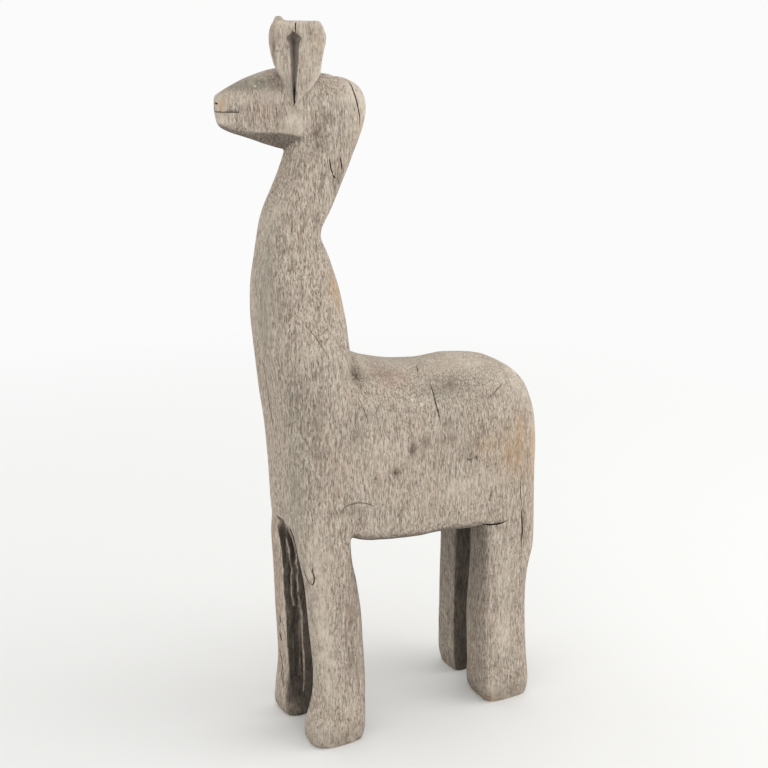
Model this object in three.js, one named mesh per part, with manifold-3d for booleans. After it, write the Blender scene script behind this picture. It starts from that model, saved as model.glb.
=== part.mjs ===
// A standing llama carved from one upright log of weathered hardwood. Head, ears, neck, body and
// legs are one piece of wood. Millimetres, +Z up: the llama faces -Y, its left side is +X, and it
// stands on its four soles at z = 0.
import * as THREE from "three";
import { mergeVertices } from "three/addons/utils/BufferGeometryUtils.js";
import Module from "manifold-3d";

const wasm = await Module();
wasm.setup();

// Driving sizes
const flank = 81; // half width of the body at its widest
const chestUnder = 336; // height of the chest's underside, between the forelegs
const backDip = 563; // height of the lowest place along the back
const rumpBack = 222; // how far the rump reaches behind the middle
const neckWaist = 39; // half width of the neck where it is thinnest
const headTurn = THREE.MathUtils.degToRad(-18); // the head looks a little to the llama's right
const headPivot = -110; // y of the upright axis that the head turns about
const muzzleReach = 142; // from that axis to the end of the muzzle
const earThick = 25;
const earOut = 43; // from the head's middle plane to an ear's outer face
const rightEar = { back: 5, cornerRise: 4.5 }; // set back a little, its front corner left higher
const mouthCut = { height: 931.5, open: 1.8, deep: 31 }; // one saw cut across the muzzle
const nostril = { height: 945, open: 3, out: 22, wide: 9, deep: 5 }; // notches in the muzzle's corners
// The flat pared along the lower edge of each cheek: a place on it, its length, and its angles in
// degrees about Y, X and Z.
const cheekFlat = { out: 33, back: -12, height: 902, length: 118, lean: -43, dip: -3, toeIn: -9 };

// How finely each block is faceted: sides round a ring, and the most between two rings.
const trunkFacets = { sides: 36, pitch: 22 };
const barrelFacets = { sides: 36, pitch: 20 };
const headFacets = { sides: 32, pitch: 16 };
const legFacets = { sides: 20, pitch: 34 };
const hollowFacets = { sides: 8, pitch: 40 };

// Chest and neck, as level slices. A slice says its height (at), its front and back (from, to), its
// middle and half width (side, half), and how square its front and back corners are: 2 gives an
// ellipse, 4 almost a rectangle.
const trunkSlices = [
  { at: chestUnder, from: -180, to: -80, side: 0, half: flank - 2, fromCorner: 3.5, toCorner: 3.4 },
  { at: 400, from: -185, to: -32, side: 0, half: flank - 1, fromCorner: 3.4, toCorner: 2.4 },
  { at: 475, from: -190.5, to: -33, side: 0, half: flank - 2, fromCorner: 3.2, toCorner: 2.1 },
  { at: 545, from: -199, to: -64, side: 0, half: flank - 5, fromCorner: 2.9, toCorner: 2.1 },
  { at: 600, from: -206, to: -79, side: 0, half: 70, fromCorner: 2.7, toCorner: 2.4 },
  { at: 645, from: -212, to: -84.5, side: 0, half: 61, fromCorner: 2.6, toCorner: 2.6 },
  { at: 690, from: -213, to: -92, side: 0, half: 52, fromCorner: 2.6, toCorner: 2.6 },
  { at: 735, from: -208, to: -106, side: 0, half: 43, fromCorner: 2.6, toCorner: 2.6 },
  { at: 765, from: -202, to: -117, side: 0, half: neckWaist + 1, fromCorner: 2.6, toCorner: 2.6 },
  { at: 795, from: -195, to: -103, side: 0, half: neckWaist, fromCorner: 2.6, toCorner: 2.6 },
  { at: 850, from: -169, to: -76, side: 0, half: neckWaist, fromCorner: 2.6, toCorner: 2.6 },
  { at: 880, from: -159, to: -62, side: 0, half: neckWaist - 1, fromCorner: 2.6, toCorner: 2.5 },
  { at: 910, from: -150, to: -49, side: 0, half: neckWaist - 2, fromCorner: 2.6, toCorner: 2.4 },
  { at: 935, from: -145, to: -44, side: 0, half: neckWaist - 4, fromCorner: 2.6, toCorner: 2.4 },
  { at: 955, from: -138, to: -49, side: 0, half: neckWaist - 7, fromCorner: 2.6, toCorner: 2.4 },
  { at: 968, from: -128, to: -62, side: 0, half: 24, fromCorner: 2.6, toCorner: 2.4 },
  { at: 975, from: -115, to: -78, side: 0, half: 13, fromCorner: 2.4, toCorner: 2.2 },
];

// Back, flanks and belly, as upright slices from the rump forward: at is the distance ahead of the
// middle, from is the belly's height and to the back's.
const barrelSlices = [
  { at: -rumpBack - 2, from: 330, to: 440, side: 0, half: 54, fromCorner: 3, toCorner: 3 },
  { at: 5 - rumpBack, from: 308, to: 482, side: 0, half: 67, fromCorner: 5, toCorner: 3.6 },
  { at: 17 - rumpBack, from: 299, to: 515, side: 0, half: flank - 5, fromCorner: 7, toCorner: 4.2 },
  { at: 37 - rumpBack, from: 298, to: 542, side: 0, half: flank - 1, fromCorner: 8, toCorner: 4 },
  { at: 62 - rumpBack, from: 298, to: backDip - 10, side: 0, half: flank, fromCorner: 8, toCorner: 3.2 },
  { at: -110, from: 299, to: backDip, side: 0, half: flank, fromCorner: 8, toCorner: 2.6 },
  { at: -50, from: 304, to: backDip, side: 0, half: flank, fromCorner: 8, toCorner: 2.3 },
  { at: -10, from: 304, to: backDip + 3, side: 0, half: flank, fromCorner: 8, toCorner: 2.3 },
  { at: 40, from: 308, to: backDip + 14, side: 0, half: flank - 1, fromCorner: 8, toCorner: 2.4 },
  { at: 75, from: 314, to: backDip + 23, side: 0, half: flank - 1, fromCorner: 8, toCorner: 2.6 },
  { at: 98, from: 322, to: backDip + 12, side: 0, half: flank - 1.5, fromCorner: 7, toCorner: 2.6 },
  { at: 116, from: 334, to: backDip - 8, side: 0, half: flank - 4, fromCorner: 5, toCorner: 2.5 },
  { at: 132, from: 350, to: backDip - 40, side: 0, half: flank - 17, fromCorner: 3, toCorner: 2.4 },
];

// Head, as upright slices from the nape forward: at is the distance ahead of the pivot.
const headSlices = [
  { at: -34, from: 905, to: 962, side: 0, half: 16, fromCorner: 2.4, toCorner: 2.2 },
  { at: -20, from: 892, to: 976, side: 0, half: 26, fromCorner: 2.4, toCorner: 2.3 },
  { at: 2, from: 882, to: 981, side: 0, half: 36, fromCorner: 2.6, toCorner: 2.5 },
  { at: 30, from: 878, to: 986, side: 0, half: 41.5, fromCorner: 3.2, toCorner: 2.5 },
  { at: 50, from: 880, to: 988, side: 0, half: 41, fromCorner: 3.6, toCorner: 2.6 },
  { at: 72, from: 886, to: 984, side: 0, half: 38, fromCorner: 3.6, toCorner: 2.6 },
  { at: 102, from: 896.5, to: 973, side: 0, half: 32, fromCorner: 3.6, toCorner: 2.8 },
  { at: 128, from: 906, to: 960, side: 0, half: 26, fromCorner: 3.6, toCorner: 3 },
  { at: 137, from: 912, to: 954.5, side: 0, half: 23.5, fromCorner: 3.6, toCorner: 3.2 },
  { at: 140, from: 918, to: 952.5, side: 0, half: 22, fromCorner: 3.6, toCorner: 3.4 },
  { at: muzzleReach, from: 928, to: 950.5, side: 0, half: 20.5, fromCorner: 3.6, toCorner: 3.6 },
];

// The legs, as level slices from the sole up into the body.
const leftForeSlices = [
  { at: 0, from: -166, to: -84, side: 55.5, half: 29.5, fromCorner: 2.7, toCorner: 3.6 },
  { at: 8, from: -170, to: -81, side: 55.5, half: 31.5, fromCorner: 2.7, toCorner: 3.6 },
  { at: 32, from: -169, to: -79.5, side: 55, half: 31.5, fromCorner: 2.7, toCorner: 3.6 },
  { at: 58, from: -160, to: -79, side: 54, half: 30.5, fromCorner: 2.8, toCorner: 3.6 },
  { at: 90, from: -154, to: -79, side: 53.5, half: 30.5, fromCorner: 2.9, toCorner: 3.6 },
  { at: 150, from: -156, to: -82, side: 53, half: 30.5, fromCorner: 2.9, toCorner: 3.6 },
  { at: 210, from: -161, to: -85, side: 52, half: 30.5, fromCorner: 2.9, toCorner: 3.6 },
  { at: 255, from: -164, to: -91, side: 51.5, half: 30.5, fromCorner: 2.9, toCorner: 3.6 },
  { at: 290, from: -171, to: -98, side: 51, half: 30.5, fromCorner: 2.8, toCorner: 3.6 },
  { at: 345, from: -182, to: -98, side: 48, half: 30.5, fromCorner: 2.6, toCorner: 3.6 },
  { at: 410, from: -176, to: -95, side: 44, half: 28, fromCorner: 2.3, toCorner: 3.6 },
  { at: 480, from: -150, to: -95, side: 36, half: 14, fromCorner: 2, toCorner: 3 },
];

const rightForeSlices = [
  { at: 0, from: -167, to: -83, side: -53, half: 30.5, fromCorner: 3.6, toCorner: 4 },
  { at: 8, from: -171, to: -80.5, side: -53, half: 32.5, fromCorner: 3.6, toCorner: 4 },
  { at: 32, from: -170, to: -79.5, side: -53, half: 32, fromCorner: 3.6, toCorner: 4 },
  { at: 60, from: -167, to: -79, side: -52.5, half: 32, fromCorner: 3.8, toCorner: 4 },
  { at: 90, from: -164.5, to: -80, side: -52, half: 32, fromCorner: 4, toCorner: 4 },
  { at: 150, from: -166, to: -82, side: -51.5, half: 31.5, fromCorner: 4, toCorner: 4 },
  { at: 255, from: -169, to: -91, side: -50.5, half: 31, fromCorner: 4, toCorner: 4 },
  { at: 330, from: -172, to: -98, side: -50, half: 30, fromCorner: 3.4, toCorner: 4 },
  { at: 400, from: -166, to: -95, side: -46, half: 28, fromCorner: 2.6, toCorner: 4 },
  { at: 455, from: -150, to: -95, side: -42, half: 22, fromCorner: 2.4, toCorner: 4 },
];

const leftHindSlices = [
  { at: 0, from: 133, to: 212, side: 49.5, half: 34.5, fromCorner: 4.4, toCorner: 3.6 },
  { at: 10, from: 127.5, to: 215, side: 49.5, half: 36.5, fromCorner: 4.4, toCorner: 3.6 },
  { at: 60, from: 124, to: 213, side: 49.5, half: 35.5, fromCorner: 4, toCorner: 3.6 },
  { at: 110, from: 121.5, to: 210, side: 49.5, half: 34, fromCorner: 3.6, toCorner: 3.4 },
  { at: 150, from: 120, to: 208, side: 49.5, half: 33, fromCorner: 3.4, toCorner: 3.4 },
  { at: 195, from: 122.5, to: 209, side: 49, half: 32.5, fromCorner: 3.4, toCorner: 3.4 },
  { at: 225, from: 124, to: 213, side: 48.5, half: 32.5, fromCorner: 3.4, toCorner: 3.4 },
  { at: 258, from: 124, to: 221, side: 48, half: 32.5, fromCorner: 3.4, toCorner: 3.4 },
  { at: 300, from: 123, to: 223, side: 47.5, half: 32.5, fromCorner: 3.4, toCorner: 3.4 },
  { at: 380, from: 125, to: 222, side: 45, half: 33, fromCorner: 3.4, toCorner: 3 },
  { at: 460, from: 130, to: 208, side: 40, half: 30, fromCorner: 3.4, toCorner: 3 },
];

const rightHindSlices = [
  { at: 0, from: 138, to: 211, side: -57.5, half: 28.5, fromCorner: 5, toCorner: 4 },
  { at: 10, from: 136, to: 213, side: -57.5, half: 30.5, fromCorner: 5.5, toCorner: 4 },
  { at: 70, from: 133, to: 211, side: -57, half: 30.5, fromCorner: 6, toCorner: 4 },
  { at: 150, from: 131.5, to: 208, side: -55, half: 30.5, fromCorner: 6, toCorner: 4 },
  { at: 215, from: 131, to: 210, side: -53, half: 30.5, fromCorner: 5.5, toCorner: 4 },
  { at: 260, from: 130, to: 219, side: -51, half: 31, fromCorner: 5, toCorner: 4 },
  { at: 300, from: 130, to: 222, side: -49, half: 32, fromCorner: 4.5, toCorner: 4 },
  { at: 380, from: 132, to: 222, side: -45, half: 33, fromCorner: 4, toCorner: 3.2 },
  { at: 460, from: 135, to: 208, side: -40, half: 30, fromCorner: 3.4, toCorner: 3.2 },
];

// The channel rotted into the right foreleg along its front inner corner.
const rotSlices = [
  { at: 26, from: -180, to: -162, side: -29, half: 6, fromCorner: 1.5, toCorner: 1.5 },
  { at: 70, from: -184, to: -152, side: -30, half: 12, fromCorner: 1.6, toCorner: 1.6 },
  { at: 130, from: -184, to: -149, side: -31, half: 14, fromCorner: 1.6, toCorner: 1.6 },
  { at: 210, from: -186, to: -152, side: -34, half: 12, fromCorner: 1.6, toCorner: 1.6 },
  { at: 290, from: -190, to: -154, side: -38, half: 12, fromCorner: 1.6, toCorner: 1.6 },
  { at: 330, from: -190, to: -160, side: -41, half: 10, fromCorner: 1.6, toCorner: 1.6 },
  { at: 346, from: -188, to: -174, side: -43, half: 4, fromCorner: 1.5, toCorner: 1.5 },
];

// The hollow of an ear: a V-shaped groove, widest just under its arched top.
const grooveSlices = [
  { at: 941, side: 38.5, half: 0.8, deep: 1.5 },
  { at: 965, side: 38, half: 2, deep: 5 },
  { at: 1000, side: 37, half: 4, deep: 8 },
  { at: 1016, side: 37, half: 5, deep: 10 },
  { at: 1027, side: 38, half: 10, deep: 10 },
  { at: 1034, side: 37, half: 2, deep: 5 },
].map(({ at, side, half, deep }) => ({
  at,
  side,
  half,
  from: earOut - deep,
  to: earOut + deep,
  fromCorner: 1,
  toCorner: 1,
}));

// Where a block's rings lie: on every slice, and in even steps of no more than pitch between them.
function ringPlaces(slices, pitch) {
  const places = [slices[0].at];
  for (let i = 1; i < slices.length; i++) {
    const start = slices[i - 1].at;
    const gap = slices[i].at - start;
    const steps = Math.ceil(gap / pitch);
    for (let k = 1; k <= steps; k++) {
      places.push(start + (gap * k) / steps);
    }
  }
  return places;
}

// A power that keeps the sign, which squares a circle off. A sine that should be nought stays nought.
function signedPower(value, power) {
  return Math.abs(value) < 1e-9 ? 0 : Math.sign(value) * Math.abs(value) ** power;
}

// A block carved to its slices: the rings of an upright cylinder, each drawn out to the slice at its
// height, with smooth curves from slice to slice. X is the side, Y runs from front to back.
function carveBlock(slices, { sides, pitch }) {
  const keys = ["from", "to", "side", "half", "fromCorner", "toCorner"];
  const heights = slices.map((slice) => slice.at);
  const sizes = slices.flatMap((slice) => keys.map((key) => slice[key]));
  const curve = new THREE.CubicInterpolant(heights, sizes, keys.length);
  const places = ringPlaces(slices, pitch);
  const last = places.length - 1;
  const block = new THREE.CylinderGeometry(1, 1, 1, sides, last).rotateX(Math.PI / 2);
  const points = block.attributes.position;
  for (let i = 0; i < points.count; i++) {
    const place = places[Math.round((points.getZ(i) + 0.5) * last)];
    const [from, to, side, half, fromCorner, toCorner] = curve.evaluate(place);
    const across = points.getX(i);
    const along = points.getY(i);
    const power = 2 / (along < 0 ? fromCorner : toCorner);
    const x = side + half * signedPower(across, power);
    const y = (from + to) / 2 + ((to - from) / 2) * signedPower(along, power);
    points.setXYZ(i, x, y, place);
  }
  return block;
}

// A closed geometry as a solid that can be joined and cut.
function solidOf(geometry) {
  const bare = geometry.clone();
  bare.deleteAttribute("normal");
  bare.deleteAttribute("uv");
  const merged = mergeVertices(bare, 1e-3);
  const vertProperties = merged.attributes.position.array;
  const triVerts = new Uint32Array(merged.index.array);
  return new wasm.Manifold(new wasm.Mesh({ numProp: 3, vertProperties, triVerts }));
}

// A solid as a geometry again.
function geometryOf(solid) {
  const mesh = solid.getMesh();
  const geometry = new THREE.BufferGeometry();
  geometry.setAttribute("position", new THREE.BufferAttribute(mesh.vertProperties, 3));
  geometry.setIndex(new THREE.BufferAttribute(mesh.triVerts, 1));
  return geometry;
}

// Chest, neck and the round of the nape.
function trunk() {
  return solidOf(carveBlock(trunkSlices, trunkFacets));
}

// Back, flanks, belly and rump: upright slices, so the block is laid down to face forward.
function barrel() {
  return solidOf(carveBlock(barrelSlices, barrelFacets).rotateX(Math.PI / 2));
}

function leg(slices) {
  return solidOf(carveBlock(slices, legFacets));
}

// The rot channel opens the corner of the right foreleg.
function rotChannel() {
  return solidOf(carveBlock(rotSlices, hollowFacets));
}

// The cheek's lower edge is pared away on each side, from the jaw's corner to the muzzle. The knife
// is a box whose upper face is the pared plane.
function cheekKnife(side) {
  const { out, back, height, length, lean, dip, toeIn } = cheekFlat;
  const [wide, thick] = [70, 40];
  const knife = new THREE.BoxGeometry(wide, length, thick).translate(0, 0, -thick / 2);
  knife.rotateY(side * THREE.MathUtils.degToRad(lean));
  knife.rotateX(THREE.MathUtils.degToRad(dip));
  knife.rotateZ(side * THREE.MathUtils.degToRad(toeIn));
  return solidOf(knife.translate(side * out, back - length / 2, height));
}

// The wedge of the head, before it is turned: pivot at x = 0, y = 0, muzzle toward -Y.
function headBlock() {
  return solidOf(carveBlock(headSlices, headFacets).rotateX(Math.PI / 2));
}

// An ear's leaf outline in the head's middle plane: x is the distance ahead of the pivot, y is up.
// The front corner of its top can stand up in a short step.
function earOutline(cornerRise) {
  const outline = new THREE.Shape();
  outline.moveTo(39, 941);
  outline.splineThru(
    [[52, 969], [63, 993], [69.5, 1020], [67, 1040], [62, 1048.5]].map(([x, y]) => new THREE.Vector2(x, y)),
  );
  if (cornerRise > 0) {
    outline.lineTo(60.5, 1048.5 + cornerRise);
    outline.lineTo(53.5, 1048.5 + cornerRise);
    outline.lineTo(51.5, 1048);
  }
  outline.lineTo(2, 1046);
  outline.splineThru(
    [[-6.5, 1026], [1, 998], [2, 981], [14, 961], [39, 941]].map(([x, y]) => new THREE.Vector2(x, y)),
  );
  return outline;
}

// One ear: an upright slab on the side of the head, its lower tip running out on the cheek, with
// the hollow cut into its outer face. side is 1 for the left ear and -1 for the right one.
function ear(side) {
  const bevel = 2.5;
  const slab = new THREE.ExtrudeGeometry(earOutline(side > 0 ? 0 : rightEar.cornerRise), {
    depth: earThick - 2 * bevel,
    bevelThickness: bevel,
    bevelSize: bevel,
    bevelOffset: -bevel,
    bevelSegments: 1,
    curveSegments: 3,
  });
  slab.translate(0, 0, bevel + (side > 0 ? -earOut : earOut - earThick));
  const forward = new THREE.Vector3(0, -1, 0);
  const up = new THREE.Vector3(0, 0, 1);
  const right = new THREE.Vector3(-1, 0, 0);
  slab.applyMatrix4(new THREE.Matrix4().makeBasis(forward, up, right));
  const groove = carveBlock(grooveSlices, hollowFacets).rotateZ(-Math.PI / 2);
  if (side < 0) {
    groove.translate(-2 * earOut, rightEar.back, 0);
    slab.translate(0, rightEar.back, 0);
  }
  return solidOf(slab).subtract(solidOf(groove));
}

// The saw cut of the mouth, right across the muzzle.
function mouth() {
  const { height, open, deep } = mouthCut;
  const [wide, past] = [70, 10];
  const cut = new THREE.BoxGeometry(wide, deep + past, open);
  return solidOf(cut.translate(0, -muzzleReach + (deep - past) / 2, height));
}

// A nostril: a notch sawn into a front corner of the muzzle.
function nostrilNotch(side) {
  const { height, open, out, wide, deep } = nostril;
  const cut = new THREE.BoxGeometry(2 * wide, 2 * deep, open);
  return solidOf(cut.translate(side * out, -muzzleReach, height));
}

// The head with its ears, pared, cut and then turned on the neck.
function head() {
  let block = headBlock();
  for (const side of [1, -1]) {
    block = block.subtract(cheekKnife(side));
  }
  for (const side of [1, -1]) {
    block = block.add(ear(side)).subtract(nostrilNotch(side));
  }
  const carved = geometryOf(block.subtract(mouth()));
  return solidOf(carved.rotateZ(headTurn).translate(0, headPivot, 0));
}

// Everything joined, and moved so that the origin is under the middle of the whole.
function llamaGeometry() {
  let wood = trunk().add(barrel()).add(head());
  for (const slices of [leftForeSlices, leftHindSlices, rightHindSlices]) {
    wood = wood.add(leg(slices));
  }
  wood = wood.add(leg(rightForeSlices).subtract(rotChannel())).subtract(rotChannel());
  const geometry = geometryOf(wood);
  geometry.computeBoundingBox();
  const middle = geometry.boundingBox.getCenter(new THREE.Vector3());
  geometry.translate(-middle.x, -middle.y, -geometry.boundingBox.min.z);
  geometry.computeVertexNormals();
  return geometry;
}

const weatheredWood = new THREE.MeshStandardMaterial({
  color: 0x9a8c7c,
  roughness: 0.9,
  metalness: 0,
});

const sculpture = new THREE.Group();
const llama = new THREE.Mesh(llamaGeometry(), weatheredWood);
llama.name = "llama";
sculpture.add(llama);

export default sculpture;
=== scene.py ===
import itertools
import math
import time

import bmesh
import bpy
import numpy as np
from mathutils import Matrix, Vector
from mathutils.bvhtree import BVHTree


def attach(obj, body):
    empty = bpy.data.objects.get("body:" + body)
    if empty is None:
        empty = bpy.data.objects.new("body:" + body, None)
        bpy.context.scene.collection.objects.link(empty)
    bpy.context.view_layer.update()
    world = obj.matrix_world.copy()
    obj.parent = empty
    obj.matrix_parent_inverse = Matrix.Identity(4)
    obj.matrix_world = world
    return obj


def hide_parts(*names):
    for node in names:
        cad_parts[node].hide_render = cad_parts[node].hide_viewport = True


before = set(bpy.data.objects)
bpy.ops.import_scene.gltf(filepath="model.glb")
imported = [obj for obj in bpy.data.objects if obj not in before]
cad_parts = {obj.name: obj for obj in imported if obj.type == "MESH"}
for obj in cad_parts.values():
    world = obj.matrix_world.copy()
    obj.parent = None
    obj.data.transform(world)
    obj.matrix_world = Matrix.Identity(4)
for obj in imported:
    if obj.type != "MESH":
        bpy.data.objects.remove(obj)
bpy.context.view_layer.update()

startTime = time.time()


def report(stage):
    print("%6.1f s  %s" % (time.time() - startTime, stage))


# Camera first: where the photographer stood, in metres and degrees
view = {
    "place": (1.5903, -0.8216, 1.050),
    "heading": 62.1 + 0.5,  # from straight ahead of the llama, round towards its left side
    "lookDown": 16.2,
    "imageSide": 768,  # pixels of the square picture
    "focalPixels": 1256,
    "sensor": 36,
}

# The wood, in millimetres: the llama faces -y, its left side is +x, its soles are at z = 0.
# A slice is (at, from, to, side, half, front corner, back corner): where it lies along the block,
# its front and back, its middle and half width, and how square its corners are (2 is an ellipse).
flank = 81
trunk = {
    "step": 3,
    "sides": 150,
    "slices": [
        (336, -180, -80, 0, 79, 3.5, 3.4),
        (400, -185, -32, 0, 80, 3.4, 2.4),
        (475, -190.5, -33, 0, 79, 3.2, 2.1),
        (545, -199, -64, 0, 76, 2.9, 2.1),
        (600, -206, -79, 0, 70, 2.7, 2.4),
        (645, -212, -84.5, 0, 61, 2.6, 2.6),
        (690, -213, -92, 0, 52, 2.6, 2.6),
        (735, -208, -106, 0, 43, 2.6, 2.6),
        (765, -202, -117, 0, 40, 2.6, 2.6),
        (795, -195, -103, 0, 39, 2.6, 2.6),
        (850, -169, -76, 0, 39, 2.6, 2.6),
        (880, -159, -62, 0, 38, 2.6, 2.5),
        (910, -150, -49, 0, 37, 2.6, 2.4),
        (935, -145, -44, 0, 35, 2.6, 2.4),
        (955, -138, -49, 0, 32, 2.6, 2.4),
        (968, -128, -62, 0, 24, 2.6, 2.4),
        (975, -115, -78, 0, 13, 2.4, 2.2),
    ],
}
barrel = {  # upright slices from the rump forward: from is the belly, to is the back
    "step": 3,
    "sides": 170,
    "slices": [
        (-224, 330, 440, 0, 54, 3, 3),
        (-217, 308, 482, 0, 67, 5, 3.6),
        (-205, 299, 515, 0, 76, 7, 4.2),
        (-185, 298, 542, 0, 80, 8, 4),
        (-160, 298, 553, 0, flank, 8, 3.2),
        (-110, 299, 563, 0, flank, 8, 2.6),
        (-50, 304, 563, 0, flank, 8, 2.3),
        (-10, 304, 566, 0, flank, 8, 2.3),
        (40, 308, 577, 0, 80, 8, 2.4),
        (75, 314, 586, 0, 80, 8, 2.6),
        (98, 322, 575, 0, 79.5, 7, 2.6),
        (116, 334, 555, 0, 77, 5, 2.5),
        (132, 350, 523, 0, 64, 3, 2.4),
    ],
}
headBlock = {  # upright slices from the nape forward, before the head is turned
    "step": 2,
    "sides": 110,
    "slices": [
        (-34, 905, 962, 0, 16, 2.4, 2.2),
        (-20, 892, 976, 0, 26, 2.4, 2.3),
        (2, 882, 981, 0, 36, 2.6, 2.5),
        (30, 878, 986, 0, 41.5, 3.2, 2.5),
        (50, 880, 988, 0, 41, 3.6, 2.6),
        (72, 886, 984, 0, 38, 3.6, 2.6),
        (102, 896.5, 973, 0, 32, 3.6, 2.8),
        (128, 906, 960, 0, 26, 3.6, 3),
        (137, 912, 954.5, 0, 23.5, 3.6, 3.2),
        (140, 918, 952.5, 0, 22, 3.6, 3.4),
        (142, 928, 950.5, 0, 20.5, 3.6, 3.6),
    ],
}
ear = {  # level slices from the lower tip up: a slab with the leaf outline of the photo
    "step": 2,
    "sides": 96,
    "outerFace": 43,
    "thick": 25,
    "edges": [
        (941, -41, -37),
        (952, -46, -24),
        (961, -50, -14),
        (969, -52.5, -9),
        (981, -58, -2),
        (993, -63, -0.5),
        (1003, -66, 1.5),
        (1014, -68.5, 4),
        (1022, -69.5, 6),
        (1030, -69.5, 6),
        (1040, -67, 2.5),
        (1046, -63.5, -1),
        (1048, -61, -3),
    ],
    "rightSetBack": 5,
    "rightCorner": {"front": -55.5, "deep": 9, "top": 1054},
}
leftFore = [
    (0, -166, -84, 55.5, 29.5, 2.7, 3.6),
    (8, -170, -81, 55.5, 31.5, 2.7, 3.6),
    (32, -169, -79.5, 55, 31.5, 2.7, 3.6),
    (58, -160, -79, 54, 30.5, 2.8, 3.6),
    (90, -154, -79, 53.5, 30.5, 2.9, 3.6),
    (150, -156, -82, 53, 30.5, 2.9, 3.6),
    (210, -161, -85, 52, 30.5, 2.9, 3.6),
    (255, -164, -91, 51.5, 30.5, 2.9, 3.6),
    (290, -171, -98, 51, 30.5, 2.8, 3.6),
    (345, -182, -98, 48, 30.5, 2.6, 3.6),
    (410, -176, -95, 44, 28, 2.3, 3.6),
    (480, -150, -95, 36, 14, 2, 3),
]
rightFore = [
    (0, -167, -83, -53, 30.5, 3.6, 4),
    (8, -171, -80.5, -53, 32.5, 3.6, 4),
    (32, -170, -79.5, -53, 32, 3.6, 4),
    (60, -167, -79, -52.5, 32, 3.8, 4),
    (90, -164.5, -80, -52, 32, 4, 4),
    (150, -166, -82, -51.5, 31.5, 4, 4),
    (255, -169, -91, -50.5, 31, 4, 4),
    (330, -172, -98, -50, 30, 3.4, 4),
    (400, -166, -95, -46, 28, 2.6, 4),
    (455, -150, -95, -42, 22, 2.4, 4),
]
leftHind = [
    (0, 133, 212, 49.5, 34.5, 4.4, 3.6),
    (10, 127.5, 215, 49.5, 36.5, 4.4, 3.6),
    (60, 124, 213, 49.5, 35.5, 4, 3.6),
    (110, 121.5, 210, 49.5, 34, 3.6, 3.4),
    (150, 120, 208, 49.5, 33, 3.4, 3.4),
    (195, 122.5, 209, 49, 32.5, 3.4, 3.4),
    (225, 124, 213, 48.5, 32.5, 3.4, 3.4),
    (258, 124, 221, 48, 32.5, 3.4, 3.4),
    (300, 123, 223, 47.5, 32.5, 3.4, 3.4),
    (380, 125, 222, 45, 33, 3.4, 3),
    (460, 130, 208, 40, 30, 3.4, 3),
]
rightHind = [
    (0, 138, 211, -57.5, 28.5, 5, 4),
    (10, 136, 213, -57.5, 30.5, 5.5, 4),
    (70, 133, 211, -57, 30.5, 6, 4),
    (150, 131.5, 208, -55, 30.5, 6, 4),
    (215, 131, 210, -53, 30.5, 5.5, 4),
    (260, 130, 219, -51, 31, 5, 4),
    (300, 130, 222, -49, 32, 4.5, 4),
    (380, 132, 222, -45, 33, 4, 3.2),
    (460, 135, 208, -40, 30, 3.4, 3.2),
]
head = {
    "turn": -18,  # degrees: it looks a little to the llama's right
    "pivot": -110,
    "muzzle": 142,
    # each cheek's lower edge is pared back to a plane through this point, facing this way
    "paredThrough": (33, -71, 902),
    "paredFacing": (-0.668, 0.145, 0.730),
}


def curveThrough(places, slices):
    # a smooth curve through every column: at a slice its slope is the mean of the two chords there
    table = np.array(slices, float)
    at, values = table[:, 0], table[:, 1:]
    chord = np.diff(values, axis=0) / np.diff(at)[:, None]
    slope = np.vstack([chord[:1], (chord[:-1] + chord[1:]) / 2, chord[-1:]])
    k = np.clip(np.searchsorted(at, places, side="right") - 1, 0, len(at) - 2)
    gap = (at[k + 1] - at[k])[:, None]
    t = (places - at[k])[:, None] / gap
    start = values[k] * (1 + 2 * t) + slope[k] * gap * t
    end = values[k + 1] * (3 - 2 * t) + slope[k + 1] * gap * (t - 1)
    return start * (1 - t) ** 2 + end * t ** 2


def carveBlock(slices, step, sides):
    # rings of |x / half| ^ corner + |y / depth| ^ corner = 1, one ring to each step along the block
    at = [row[0] for row in slices]
    runs = [np.linspace(a, b, max(2, round((b - a) / step) + 1))[:-1] for a, b in zip(at, at[1:])]
    places = np.append(np.concatenate(runs), at[-1])
    front, back, side, half, frontCorner, backCorner = curveThrough(places, slices).T[:, :, None]
    angle = np.arange(sides) * 2 * np.pi / sides
    across, along = np.cos(angle)[None, :], np.sin(angle)[None, :]
    power = 2 / np.where(along < 0, frontCorner, backCorner)
    x = side + half * np.sign(across) * np.abs(across) ** power
    y = (front + back) / 2 + (back - front) / 2 * np.sign(along) * np.abs(along) ** power
    z = np.broadcast_to(places[:, None], x.shape)
    return np.stack([x, y, z], axis=-1)


def closedFaces(rings, sides):
    # four-sided faces between neighbouring rings, and one flat face across each end
    i = np.arange(rings * sides).reshape(rings, sides)
    turned = np.roll(i, -1, axis=1)
    walls = np.stack([i[:-1], turned[:-1], turned[1:], i[1:]], axis=-1).reshape(-1, 4)
    return walls.tolist() + [i[0, ::-1].tolist(), i[-1].tolist()]


def layDown(rings):
    # an upright block laid forward: what was its height runs ahead, what was its depth runs up
    x, y, z = rings[..., 0], rings[..., 1], rings[..., 2]
    return np.stack([x, -z, y], axis=-1)


def pareCheeks(rings):
    # points that lie outside a cheek's plane are drawn straight back onto it
    for side in (1, -1):
        facing = np.array(head["paredFacing"]) * (side, 1, 1)
        outside = np.minimum((rings - np.array(head["paredThrough"]) * (side, 1, 1)) @ facing, 0)
        outside *= np.clip((-rings[..., 1] - 4) / 14, 0, 1)
        rings = rings - outside[..., None] * facing
    return rings


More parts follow.
